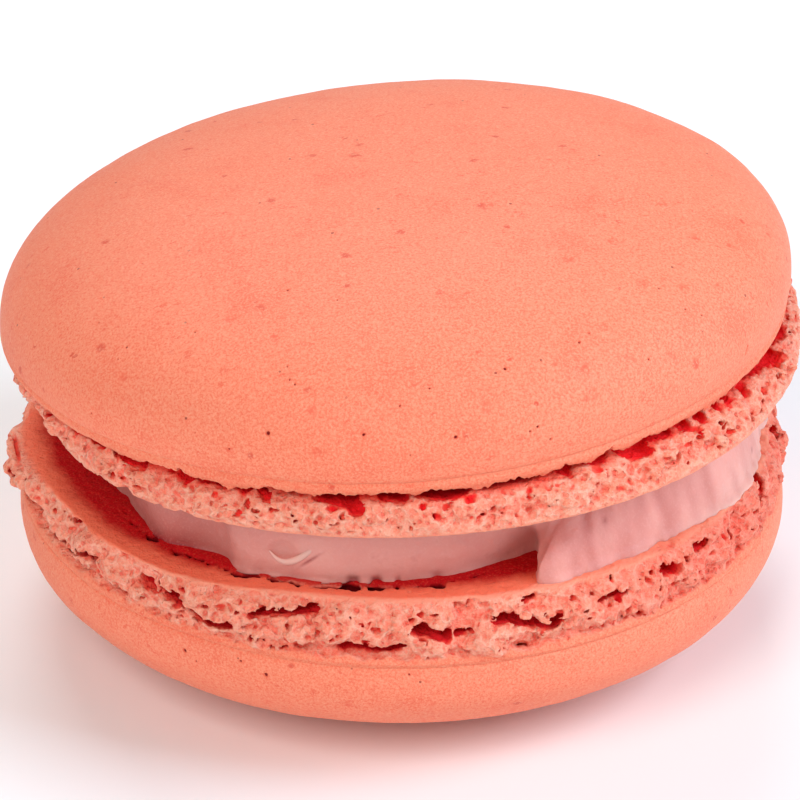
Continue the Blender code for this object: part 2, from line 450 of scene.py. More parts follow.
def noise_in(tree, place, size, detail=2.0, roughness=0.5, distortion=0.0):
    """Smooth noise about 0 at points of a tree, with waves of about a size in metres."""
    inputs = {
        "Vector": place,
        "Scale": 1.0 / size,
        "Detail": detail,
        "Roughness": roughness,
        "Distortion": distortion,
    }
    return (Term(tree, node_of(tree, "ShaderNodeTexNoise", inputs).outputs[0]) - 0.5) * 2.0


def cells_in(tree, place, size, smooth=False):
    """Distance to the nearest cell's heart, in cells, and that cell's own random number."""
    node = node_of(tree, "ShaderNodeTexVoronoi", feature="SMOOTH_F1" if smooth else "F1")
    feed(tree, node.inputs["Vector"], place)
    feed(tree, node.inputs["Scale"], 1.0 / size)
    if smooth:
        feed(tree, node.inputs["Smoothness"], 0.25)
    luck = parts_of(tree, Term(tree, node.outputs["Color"]))[0]
    return Term(tree, node.outputs["Distance"]), luck


def mixed(tree, factor, first, second):
    """The colour between two others: the first at factor 0, the second at 1."""
    node = node_of(tree, "ShaderNodeMix", data_type="RGBA")
    feed(tree, node.inputs[0], factor)
    for socket, value in ((node.inputs[6], first), (node.inputs[7], second)):
        feed(tree, socket, value if isinstance(value, Term) else (*value, 1.0))
    return Term(tree, node.outputs[2])


def picked(tree, points, field, index, kind):
    """The value of a field at one of the points that a tree is given."""
    node = node_of(tree, "GeometryNodeSampleIndex", data_type=kind)
    tree.links.new(points, node.inputs["Geometry"])
    feed(tree, node.inputs["Value"], field)
    feed(tree, node.inputs["Index"], index)
    return Term(tree, node.outputs["Value"])


def foot_tree(sizes, upper):
    """A tree that grows one foot, froth and torn edge of skin, round the points of its hollows."""
    name = "upper_foot_growth" if upper else "lower_foot_growth"
    tree = bpy.data.node_groups.new(name, "GeometryNodeTree")
    socket = tree.interface.new_socket
    socket("Hollows", in_out="INPUT", socket_type="NodeSocketGeometry")
    socket("Foot", in_out="OUTPUT", socket_type="NodeSocketGeometry")
    for label, value in (
        ("Grain", sizes.foot_grain),
        ("Lump Size", sizes.lump_size),
        ("Lump Height", sizes.lump_height * (1.0 if upper else 1.25)),
        ("Pore Size", sizes.pore_size),
        ("Seed", 3.0 if upper else 8.0),
    ):
        socket(label, in_out="INPUT", socket_type="NodeSocketFloat").default_value = value
    socket("Material", in_out="INPUT", socket_type="NodeSocketMaterial")
    source = tree.nodes.new("NodeGroupInput")
    given = {output.name: Term(tree, output) for output in source.outputs if output.name}
    points = source.outputs["Hollows"]

    # The foot is grown level, as a straight strip: X runs along its ring, and Y in from outside.
    place = Term(tree, tree.nodes.new("GeometryNodeInputPosition").outputs[0])
    along, inset, z = parts_of(tree, place)
    turn = along / RING
    bearing = turn / TURN
    radius = OUTSIDE - inset - inset * inset * inset * BEND
    x, y = radius * cosine(turn), radius * sine(turn)
    seeded = vector_of(tree, x, y, z + given["Seed"] * 0.1)
    fine = noise_in(tree, seeded, 0.42 * MM, 2.0, 0.6)

    if upper:
        up = z - sizes.upper_face
        tall, rise = upper_lip(sizes, bearing)
        band_height = UPPER_BAND
        band_radius = upper_skin_radius(sizes, bearing, up - tall, rise)
        foot_edge = upper_foot_radius(sizes, bearing)
        share = up / tall
        wall = upper_foot_wall(sizes, bearing, share)
        depth = sizes.foot_depth * 0.6
    else:
        up = sizes.lower_face - z
        tall = sizes.lower_face - sizes.lower_skin_top
        band_height = LOWER_BAND
        band_radius = lower_skin_radius(sizes, z)
        foot_edge = lower_rim_radius(sizes, bearing)
        share = up / tall
        wall = lower_foot_wall(sizes, bearing, up, share)
        depth = sizes.foot_depth

    # Froth: rounded lumps with creases between them, calm beside the flat face.
    warp = noise_in(tree, seeded, 1.1 * MM, 1.0) * (0.6 * MM)
    warped = vector_of(tree, x + warp, y - warp, z * 1.2 + warp + given["Seed"] * 0.1)
    lump, _ = cells_in(tree, warped, given["Lump Size"], smooth=True)
    small, _ = cells_in(tree, warped, given["Lump Size"] * 0.42)
    broad = noise_in(tree, seeded, 3.2 * MM, 1.0)
    free = eased(share, 0.1, 0.34) if upper else eased(share, 0.0, 0.16)
    froth = (0.3 - lump * lump) * given["Lump Height"] * 1.6
    froth = froth + (0.3 - small * small) * (0.42 * MM) + fine * (0.2 * MM) + broad * (0.5 * MM)
    above = up - tall
    drawn = held(0.55 + 1.5 * noise_in(tree, seeded, 2.6 * MM, 1.0)) * hump(share, 0.92, 0.15)
    drawn = drawn * (0.85 * MM if upper else 0.3 * MM) + 0.7 * MM * eased(above, 0.0, 0.4 * MM)
    lumpy = wall - drawn + froth * (free * 0.9 + 0.1) - radius
    # The rim of the flat face is bitten at the upper foot's left and at the lower foot's right.
    bite = held(noise_in(tree, seeded, 1.2 * MM, 2.0, 0.6) * 2.2)
    if upper:
        bite = bite * swelling(bearing, -150.0, 42.0, 6.0)
    else:
        bite = bite * swelling(bearing, -10.0, 56.0, 8.0) * 0.5
    bite = bite * eased(radius, foot_edge - 1.3 * MM, foot_edge - 0.3 * MM) * (0.5 * MM)
    crumb = rounded_smaller(lumpy, up - bite + fine * (0.04 * MM), 0.12 * MM)
    crumb = smaller(crumb, band_height + 0.25 * MM - above)
    crumb = smaller(crumb, radius - (foot_edge - depth))

    # Hollows: the nearest of the given points, each with its own reach.
    shaken = vector_of(
        tree,
        x + noise_in(tree, seeded, 0.8 * MM, 2.0) * (0.42 * MM),
        y + noise_in(tree, warped, 0.8 * MM, 2.0) * (0.42 * MM),
        z * FLATTENED + fine * (0.2 * MM),
    )
    nearest = node_of(tree, "GeometryNodeSampleNearest", {"Sample Position": shaken})
    tree.links.new(points, nearest.inputs["Geometry"])
    index = Term(tree, nearest.outputs["Index"])
    reach = node_of(tree, "GeometryNodeInputNamedAttribute", {"Name": "reach"}, data_type="FLOAT")
    reach = picked(tree, points, Term(tree, reach.outputs["Attribute"]), index, "FLOAT")
    heart = picked(tree, points, place, index, "FLOAT_VECTOR")
    apart = node_of(tree, "ShaderNodeVectorMath", {0: shaken, 1: heart}, operation="DISTANCE")
    crumb = rounded_smaller(crumb, Term(tree, apart.outputs["Value"]) - reach, 0.1 * MM)

    # Pores: small bubbles that open through the wall.
    pore, luck = cells_in(tree, shaken, given["Pore Size"])
    bubble = (pore - (0.1 + 0.34 * luck)) * given["Pore Size"]
    bubble = bubble + larger(wall - radius - 0.4 * MM, 0.0)
    bubble = bubble + (1.0 - eased(share, 0.06, 0.24)) * (0.4 * MM)
    crumb = rounded_smaller(crumb, bubble, 0.06 * MM)

    if upper:
        # At the right the froth is coarser, with wide burst bubbles.
        wide, luck = cells_in(tree, shaken, 1.1 * MM)
        wide = (wide - (0.14 + 0.26 * luck)) * (1.1 * MM) + larger(wall - radius - 0.6 * MM, 0.0)
        wide = wide + (1.0 - swelling(bearing, -26.0, 22.0, 4.0)) * MM
        wide = wide + (1.0 - eased(share, 0.12, 0.35)) * (0.4 * MM)
        crumb = rounded_smaller(crumb, wide, 0.08 * MM)
    else:
        # The flat face is torn along the cream, and a furrow sets the outer ridge apart.
        wander = noise_in(tree, vector_of(tree, x, y, 0.0), 1.4 * MM, 3.0, 0.6)
        tear = size_of(radius - cream_radius(sizes, bearing) - 0.7 * MM - wander * (0.7 * MM))
        width = noise_in(tree, seeded, 1.1 * MM, 2.0, 0.6) * (0.7 * MM) + 0.15 * MM
        width = width - (1.0 - swelling(bearing, -110.0, 38.0, 6.0)) * (0.5 * MM)
        tear = larger(tear - width, up - 0.6 * MM)
        furrow = size_of(radius - foot_edge - 0.28 * MM - wander * (0.1 * MM)) - 0.1 * MM
        furrow = furrow + (1.0 - swelling(bearing, -169.0, 10.0, 6.0)) * MM
        furrow = larger(furrow, up - 0.4 * MM)
        crumb = rounded_smaller(crumb, smaller(tear, furrow), 0.08 * MM)

    # The edge of the skin: a thin band that stands over the crumb and ends in a torn edge.
    ring = vector_of(tree, RING * cosine(turn), RING * sine(turn), given["Seed"])
    torn = noise_in(tree, ring, 1.3 * MM, 4.0, 0.66) * (1.1 * MM if upper else 0.55 * MM)
    level = above - torn
    edge = band_radius + 0.07 * MM * hump(above, band_height * 0.5, band_height * 0.45)
    edge = edge - 0.1 * MM * hump(above, band_height, 0.1 * MM) + fine * (0.02 * MM)
    edge = edge - larger(above - band_height - 0.05 * MM, 0.0) * 1.5
    band = rounded_smaller(edge - radius, level, 0.12 * MM)
    band = smaller(band, band_height + 0.25 * MM - above)
    band = smaller(band, radius - (band_radius - 0.7 * MM))
    solid = larger(crumb, band)

    # The strip overlaps itself by a few grains, a whole number of them to the turn.
    if upper:
        floor, ceiling, inside = sizes.upper_face - 0.3 * MM, sizes.upper_face + 4.1 * MM, 3.5 * MM
    else:
        floor, ceiling = sizes.lower_skin_top - 1.3 * MM, sizes.lower_face + 0.3 * MM
        inside = 4.3 * MM
    half = math.pi * RING
    count = worked("ROUND", None, 2.0 * half / given["Grain"])
    step = 2.0 * half / count
    volume = node_of(
        tree,
        "GeometryNodeVolumeCube",
        {
            "Density": held(solid / given["Grain"], -2.0, 2.0),
            "Background": -2.0,
            "Min": vector_of(tree, step * -3.0 - half, 0.0, floor),
            "Max": vector_of(tree, step * 3.0 + half, inside, ceiling),
            "Resolution X": count + 7.0,
            "Resolution Y": inside / given["Grain"],
            "Resolution Z": (ceiling - floor) / given["Grain"],
        },
    )
    body = through(
        tree, volume.outputs[0], "VolumeToMesh", {"Threshold": 0.0}, resolution_mode="GRID"
    )
    extra = worked("GREATER_THAN", None, size_of(along - step * 0.37), half)
    body = through(tree, body, "DeleteGeometry", {"Selection": extra}, domain="FACE")

    # Loose bubbles inside the wall are dropped: only the largest body stays.
    island = tree.nodes.new("GeometryNodeInputMeshIsland")
    groups = {0: 1.0, 1: Term(tree, island.outputs["Island Index"])}
    tally = node_of(tree, "GeometryNodeAccumulateField", groups, data_type="FLOAT")
    stray = worked("LESS_THAN", None, Term(tree, tally.outputs["Total"]), SMALLEST_BODY)
    body = through(tree, body, "DeleteGeometry", {"Selection": stray})

    # What the finish reads: how deep a place lies, where skin shows, and how far in on the face.
    shown = eased(level, -0.03 * MM, 0.07 * MM)
    shown = shown * eased(radius, band_radius - 0.3 * MM, band_radius - 0.1 * MM)
    deep = held((smaller(lumpy + drawn * 0.6, up) - 0.04 * MM) / (0.8 * MM))
    crease = eased(lump, 0.5, 0.85) * 0.6 + eased(small, 0.5, 0.9) * 0.4
    beside = 1.0 - eased(size_of(radius - cream_radius(sizes, bearing)), 0.3 * MM, 1.5 * MM)
    at_swell = eased(bearing, -72.0, -69.0) * eased(radius, 19.8 * MM, 20.2 * MM)
    beside = beside * (1.0 - at_swell)
    inward = held((foot_edge - radius) / (4.0 * MM)) * (1.0 - 0.8 * at_swell)
    for name, value in (
        ("sunk", deep * (1.0 - shown)),
        ("crease", crease * free),
        ("skin", shown),
        ("flat", 1.0 - eased(up, 0.06 * MM, 0.22 * MM)),
        ("inward", inward),
        ("beside", beside),
    ):
        inputs = {"Name": name, "Value": value}
        body = through(tree, body, "StoreNamedAttribute", inputs, data_type="FLOAT")
    # The strip is bent to its ring, the upper one leans with its face, and the ends are joined.
    lean = sloped(0.0, UPPER_FACE_SLOPE, x, y) if upper else 0.0
    for kind, inputs in (
        ("SetPosition", {"Position": vector_of(tree, x, y, z + lean)}),
        ("MergeByDistance", {"Distance": SEAM}),
        ("RealizeInstances", {}),
        ("SetMaterial", {"Material": given["Material"]}),
    ):
        body = through(tree, body, kind, inputs)
    tree.links.new(body, tree.nodes.new("NodeGroupOutput").inputs[0])
    return tree


def applied(piece):
    """Applies the piece's modifiers, and gives how many triangles it has then."""
    graph = bpy.context.evaluated_depsgraph_get()
    mesh = bpy.data.meshes.new_from_object(piece.evaluated_get(graph))
    piece.modifiers.clear()
    piece.data = mesh
    mesh.calc_loop_triangles()
    return len(mesh.loop_triangles)


def grown(name, host, tree, material):
    """The piece that a tree grows from its host mesh, thinned where it has too many triangles."""
    piece = bpy.data.objects.new(name, host)
    bpy.context.scene.collection.objects.link(piece)
    growth = piece.modifiers.new("growth", "NODES")
    growth.node_group = tree
    for socket in tree.interface.items_tree:
        if socket.in_out == "INPUT" and socket.name == "Material":
            growth[socket.identifier] = material
    triangles = applied(piece)
    if not triangles:
        raise RuntimeError(f"{name} grew no faces")
    print(name, "grew", triangles)
    if triangles > MOST_TRIANGLES:
        thin = piece.modifiers.new("thin", "DECIMATE")
        thin.ratio = MOST_TRIANGLES / triangles
        thin.use_collapse_triangulate = True
        print(name, "thinned to", applied(piece))
    piece.data.name = name
    piece.data.shade_smooth()
    return piece


def plain_piece(name, points, faces, material, values=None):
    """A piece made from points and faces, with its own values for its material to read."""
    mesh = bpy.data.meshes.new(name)
    mesh.from_pydata(np.asarray(points).tolist(), [], [tuple(face) for face in faces])
    for key, value in (values or {}).items():
        mesh.attributes.new(key, "FLOAT", "POINT").data.foreach_set("value", np.float32(value))
    mesh.shade_smooth()
    mesh.materials.append(material)
    piece = bpy.data.objects.new(name, mesh)
    bpy.context.scene.collection.objects.link(piece)
    return piece


def fitted(piece, node):
    """The piece rides on the macaron and stands for one of its nodes."""
    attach(piece, "root")
    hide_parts(node)


# Skins.


def even_disc(rings):
    """Shares out from the middle, bearings and triangles of a disc of even triangles."""
    shares, bearings, faces = [0.0], [0.0], []
    for ring in range(1, rings + 1):
        steps = 6 * ring
        first = len(shares)
        inner = first - 6 * (ring - 1)
        shares += [ring / rings] * steps
        bearings += [360.0 * i / steps for i in range(steps)]
        for i in range(steps):
            side, along = divmod(i, ring)
            here, after = first + i, first + (i + 1) % steps
            if ring == 1:
                faces.append((0, here, after))
                continue
            below = inner + (side * (ring - 1) + along) % (6 * (ring - 1))
            faces.append((here, after, below))
            if along:
                faces.append((inner + side * (ring - 1) + along - 1, here, below))
    return np.array(shares), np.array(bearings), faces


def wavering(points, size, shift):
    """Smooth noise about 0 at each point, with waves of about a size in metres."""
    offset = Vector((shift, 2.0 * shift, 3.0 * shift))
    return np.array([noise.noise(Vector(point) / size + offset) for point in points.tolist()])


def dome_profile(radius, rise, power):
    """Length of a dome's profile, and rules for its radius and rise at a share of that length."""
    turn = np.linspace(0.5 * math.pi, 0.0, 600)
    out = radius * np.maximum(np.cos(turn), 0.0) ** (2.0 / power)
    up = rise * np.sin(turn) ** (2.0 / power)
    way = np.concatenate(([0.0], np.cumsum(np.hypot(np.diff(out), np.diff(up)))))
    share = way / way[-1]
    return way[-1], lambda s: np.interp(s, share, out), lambda s: np.interp(s, share, up)


def upper_skin_place(sizes, share, bearing):
    """Points of the upper skin from its crown out to the crease above its edge."""
    length, out, up = dome_profile(sizes.upper_radius, sizes.upper_rise, UPPER_POWER)
    dome = length / (length + 1.2 * MM)
    tall, rise = upper_lip(sizes, bearing)
    fall = np.clip((share - dome) / (1.0 - dome), 0.0, 1.0)
    above = rise + (UPPER_BAND - rise) * fall
    spread = np.clip(above / rise, 0.0, 1.0) ** 0.5
    lip = sizes.upper_lip_radius
    radius = np.where(
        share <= dome, out(share / dome), lip + (sizes.upper_radius - lip) * spread
    )
    radius = radius - 0.1 * MM * hump(above, UPPER_BAND, 0.1 * MM) * fall
    cos, sin = np.cos(bearing * TURN), np.sin(bearing * TURN)
    widest = sloped(sizes.upper_widest, UPPER_WIDEST_SLOPE, radius * cos, radius * sin)
    face = sloped(sizes.upper_face, UPPER_FACE_SLOPE, lip * cos, lip * sin)
    height = np.where(share <= dome, widest + up(share / dome), face + tall + above)
    return np.stack((radius * cos + sizes.upper_offset, radius * sin, height), 1)


def lower_skin_place(sizes, share, bearing):
    """Points of the lower skin from where it rests out to the crease below its edge."""
    length, out, up = dome_profile(sizes.lower_radius, sizes.lower_depth, LOWER_POWER)
    crease = sizes.lower_skin_top - LOWER_BAND
    wall = crease - sizes.lower_widest
    dome = length / (length + wall)
    height = sizes.lower_widest - up(np.clip(share / dome, 0.0, 1.0))
    height = 0.5 * (height + np.hypot(height, 0.12 * MM))
    height = height + wall * np.clip((share - dome) / (1.0 - dome), 0.0, 1.0)
    radius = np.where(share <= dome, out(share / dome), lower_skin_radius(sizes, height))
    radius = radius - 0.1 * MM * hump(height, crease, 0.1 * MM)
    cos, sin = np.cos(bearing * TURN), np.sin(bearing * TURN)
    return np.stack((radius * cos, radius * sin, height), 1)


def heart_rings(sizes, upper, edge, bearing):
    """Rings that close a skin: in past its edge, and on to its shell's flat face."""
    if upper:
        towards, face, slope, foot_edge = -MM, sizes.upper_face, UPPER_FACE_SLOPE, upper_foot_radius
    else:
        towards, face, slope, foot_edge = MM, sizes.lower_face, (0.0, 0.0), lower_rim_radius
    rings = [edge * (share, share, 1.0) + (0.0, 0.0, step * towards)
             for share, step in ((0.985, 0.05), (0.95, 0.1), (0.86, 0.3))]
    inner = foot_edge(sizes, bearing) - sizes.foot_depth + 0.3 * MM
    for radius, level in ((inner, 0.12), (inner - 0.3 * MM, 0.04)):
        x, y = radius * np.cos(bearing * TURN), radius * np.sin(bearing * TURN)
        rings.append(np.stack((x, y, sloped(face - level * towards, slope, x, y)), 1))
    return rings


def closed_skin(sizes, upper):
    """Points and faces of a closed skin: a dome of even triangles, and a plain heart within."""
    rings = 140
    place = upper_skin_place if upper else lower_skin_place
    shares, bearings, faces = even_disc(rings)
    points = place(sizes, shares, bearings)
    steps = 6 * rings
    last = len(points) - steps
    around = np.arange(steps) * 360.0 / steps
    for ring in heart_rings(sizes, upper, place(sizes, np.ones(steps), around), around):
        first = len(points)
        points = np.concatenate((points, ring))
        for i in range(steps):
            j = (i + 1) % steps
            faces += [(last + i, first + i, last + j), (last + j, first + i, first + j)]
        last = first
    centre = len(points)
    points = np.concatenate((points, points[-steps:].mean(0, keepdims=True)))
    faces += [(last + i, centre, last + (i + 1) % steps) for i in range(steps)]
    return points, faces


def points_of(mesh):
    return np.array([vertex.co for vertex in mesh.verts])


def near_points(points, spot, reach):
    """Which of the points lie within reach of a spot."""
    return np.flatnonzero(np.linalg.norm(points - np.array(spot), axis=1) < reach).tolist()


def skin_piece(name, sizes, upper, pits, material, shift):
    """A baked skin with faint swells, open pits and shallow flecks."""
    place = upper_skin_place if upper else lower_skin_place
    piece = plain_piece(name, *closed_skin(sizes, upper), material)
    mesh = bmesh.new()
    mesh.from_mesh(piece.data)
    if mesh.calc_volume(signed=True) < 0.0:
        bmesh.ops.reverse_faces(mesh, faces=mesh.faces)
    spots = [
        (Vector(place(sizes, np.array([share]), np.array([bearing]))[0]), radius * MM, depth * MM)
        for bearing, share, radius, depth in pits
    ]
    for finer in (1.0, 0.5):
        mesh.verts.ensure_lookup_table()
        points = points_of(mesh)
        near = set()
        for spot, radius, _ in spots:
            if radius < BLEMISH * MM:
                near.update(near_points(points, spot, radius * 1.5 + finer * 0.2 * MM))
        edges = dict.fromkeys(edge for i in sorted(near) for edge in mesh.verts[i].link_edges)
        bmesh.ops.subdivide_edges(mesh, edges=list(edges), cuts=1, use_grid_fill=True)
        bmesh.ops.triangulate(mesh, faces=[face for face in mesh.faces if len(face.verts) > 3])
    mesh.normal_update()
    mesh.verts.ensure_lookup_table()
    sunk = mesh.verts.layers.float.new("sunk")
    points = points_of(mesh)
    moves = MM * (
        0.07 * wavering(points, 6.0 * MM, shift)
        + 0.022 * wavering(points, 1.6 * MM, shift + 1.0)
        + 0.008 * wavering(points, 0.6 * MM, shift + 2.0)
    )
    for spot, radius, depth in spots:
        for i in near_points(points, spot, radius * 1.5):
            near = (mesh.verts[i].co - spot).length / radius
            near *= 1.0 + 0.6 * noise.noise(Vector(points[i]) / (0.25 * MM))
            bowl = max(1.0 - near**3.0, 0.0)
            moves[i] -= depth * bowl
            mesh.verts[i][sunk] = max(mesh.verts[i][sunk], bowl * min(depth / (0.08 * MM), 1.0))
    for vertex, move in zip(mesh.verts, moves):
        vertex.co += vertex.normal * float(move)
        vertex.co.z = max(vertex.co.z, 0.0)
    mesh.to_mesh(piece.data)
    mesh.free()
    piece.data.shade_smooth()
    return piece


# Feet.


def seeded_hollows(seed, count, low, high):
    """Hollows for the rest of a foot's turn, strewn as unevenly as those at its front."""
    chance = random.Random(seed)
    chains = []
    for i in range(count):
        bearing = -12.0 + 228.0 * (i + chance.uniform(-0.4, 0.4)) / count
        share = chance.uniform(low, high)
        radius = chance.choice((0.16, 0.2, 0.24, 0.28, 0.34, 0.38))
        chain = [(bearing, share)]
        for _ in range(chance.randrange(0, 4)):
            bearing += chance.uniform(1.0, 2.2)
            share += chance.uniform(-0.09, 0.09)
            chain.append((bearing, share))
        chains.append((radius, *chain))
    return tuple(chains)


def wall_place(sizes, upper, bearing, share):
    """Radius and height of a place on a foot's plain wall, where the foot is still level."""
    if upper:
        tall, _ = upper_lip(sizes, bearing)
        return upper_foot_wall(sizes, bearing, share), sizes.upper_face + share * tall
    up = share * (sizes.lower_face - sizes.lower_skin_top)
    return lower_foot_wall(sizes, bearing, up, share), sizes.lower_face - up


def bubbles_of(sizes, upper, chains, widening):
    """Bubbles along the hollows, four deep: each a point in its tree's frame, and its reach."""
    bubbles = []
    for radius, *chain in chains:
        walk = []
        for (b0, s0), (b1, s1) in zip(chain, chain[1:]):
            steps = max(2, round(abs(b1 - b0) * 1.36))
            walk += [(b0 + (b1 - b0) * i / steps, s0 + (s1 - s0) * i / steps) for i in range(steps)]
        walk.append(chain[-1])
        for bearing, share in walk:
            out, height = wall_place(sizes, upper, bearing, share)
            for depth, swell in ((-0.2, 0.85), (0.25, 1.1), (0.65, 1.2), (1.0, 1.0)):
                reach = radius * swell * widening * MM
                bubbles.append((bearing, out - depth * MM, height, reach))
    return bubbles


def face_bubbles(sizes):
    """Bubbles for the holes in the lower shell's flat face, three deep."""
    return [
        (bearing, out * MM, sizes.lower_face - depth * MM, half * swell * MM)
        for bearing, out, half in FACE_HOLES
        for depth, swell in ((0.05, 1.0), (0.45, 1.1), (0.85, 0.9))
    ]


def bubble_mesh(name, bubbles):
    """A mesh of points, one for each bubble, stretched upright as the tree reads them."""
    mesh = bpy.data.meshes.new(name)
    points = [
        (out * math.cos(b * TURN), out * math.sin(b * TURN), height * FLATTENED)
        for b, out, height, _ in bubbles
    ]
    mesh.from_pydata(points, [], [])
    reaches = np.float32([bubble[3] for bubble in bubbles])
    mesh.attributes.new("reach", "FLOAT", "POINT").data.foreach_set("value", reaches)
    return mesh


# Finishes.


def finish_base(name):
    material = bpy.data.materials.new(name)
    material.use_nodes = True
    tree = material.node_tree
    coordinates = tree.nodes.new("ShaderNodeTexCoord")
    place = Term(tree, coordinates.outputs["Object"])
    return material, tree, tree.nodes["Principled BSDF"], place


def painted(tree, colour, *coats):
    """A colour under coats of others: each a share and a colour."""
    for share, coat in coats:
        colour = mixed(tree, share, colour, coat)
    return colour


def set_surface(tree, surface, colour, roughness, gloss, under, spread, depth):
    """Sets the shader: its look, and how much, how wide and how deep light goes under it."""
    for name, value in (
        ("Base Color", colour),
        ("Roughness", roughness),
        ("Specular IOR Level", gloss),
        ("Subsurface Weight", under),
        ("Subsurface Radius", spread),
        ("Subsurface Scale", depth),
    ):
        feed(tree, surface.inputs[name], value)


def value_of(tree, name):
    node = node_of(tree, "ShaderNodeAttribute", attribute_name=name)
    return Term(tree, node.outputs["Fac"])


def relief(tree, surface, *layers):
    """Bumps the surface by layers, each a height and a depth in metres."""
    normal = None
    for height, depth in layers:
        bump = node_of(tree, "ShaderNodeBump", {"Distance": depth, "Height": height})
        if normal is not None:
            tree.links.new(normal, bump.inputs["Normal"])
        normal = bump.outputs["Normal"]
    tree.links.new(normal, surface.inputs["Normal"])


def skin_colour(tree, place, colours):
    """The baked skin's colour: soft blotches, reddish streaks, dark dots of painted shade for
    pinholes, and a fine grain.
    """
    x, y, z = parts_of(tree, place)
    broad = noise_in(tree, place, 9.0 * MM, 1.0)
    patch = noise_in(tree, place, 3.6 * MM, 3.0, 0.6)
    drawn = vector_of(tree, x + y * 0.35, y * 2.4 - x * 0.3, z * 2.0)
    streak = noise_in(tree, drawn, 1.1 * MM, 2.0, 0.55)
    where = noise_in(tree, place, 5.0 * MM, 1.0)
    heart, luck = cells_in(tree, place, 1.25 * MM)
    # Painted shade: dark dots that stand for the shade in pinholes.
    pin = (1.0 - eased(heart - luck * 0.02, 0.035, 0.06)) * eased(luck, 0.66, 0.68)
    bent = vector_of(tree, x + streak * (0.5 * MM), y - streak * (0.5 * MM), z)
    freckle, freckle_luck = cells_in(tree, bent, 2.3 * MM)
    freckle = (1.0 - eased(freckle, 0.05, 0.05 + freckle_luck * 0.14)) * 0.85
    fleck, fleck_luck = cells_in(tree, place, 0.55 * MM)
    dot = (1.0 - eased(fleck, 0.08, 0.2)) * eased(fleck_luck, 0.62, 0.66)
    grain = noise_in(tree, place, 0.14 * MM, 3.0, 0.8)
    skin = painted(
        tree,
        colours.skin,
        (held(0.5 + broad * 0.5), colours.skin_pale),
        (eased(patch, 0.02, 0.5) * 0.36, colours.skin_red),
        (eased(streak + where * 0.25, 0.3, 0.55) * 0.75, colours.skin_red),
        (pin * 0.85, colours.pit_shade),
        (freckle, colours.freckle),
        (dot * 0.35, colours.skin_red),
        (held(grain * 2.4, 0.0, 0.9), colours.skin_light),
        (held(grain * -2.2, 0.0, 0.85), colours.skin_red),
    )
    return skin, grain


def skin_finish(name, colours):
    material, tree, surface, place = finish_base(name)
    skin, grain = skin_colour(tree, place, colours)
    sunk = value_of(tree, "sunk")
    uneven = held(0.55 + noise_in(tree, place, 0.25 * MM, 1.0) * 1.8)
    skin = painted(
        tree,
        skin,
        (eased(sunk, 0.02, 0.45) * uneven * 0.85, colours.skin_red),
        # Painted shade: near black in the deeper pits.
        (eased(sunk, 0.6, 0.9), colours.pit_shade),
    )
    set_surface(tree, surface, skin, 0.62, 0.3, 0.15, (1.0, 0.35, 0.22), 0.5 * MM)
    soft = noise_in(tree, place, 0.5 * MM, 2.0)
    relief(tree, surface, (soft, 0.02 * MM), (grain, 0.012 * MM))
    return material


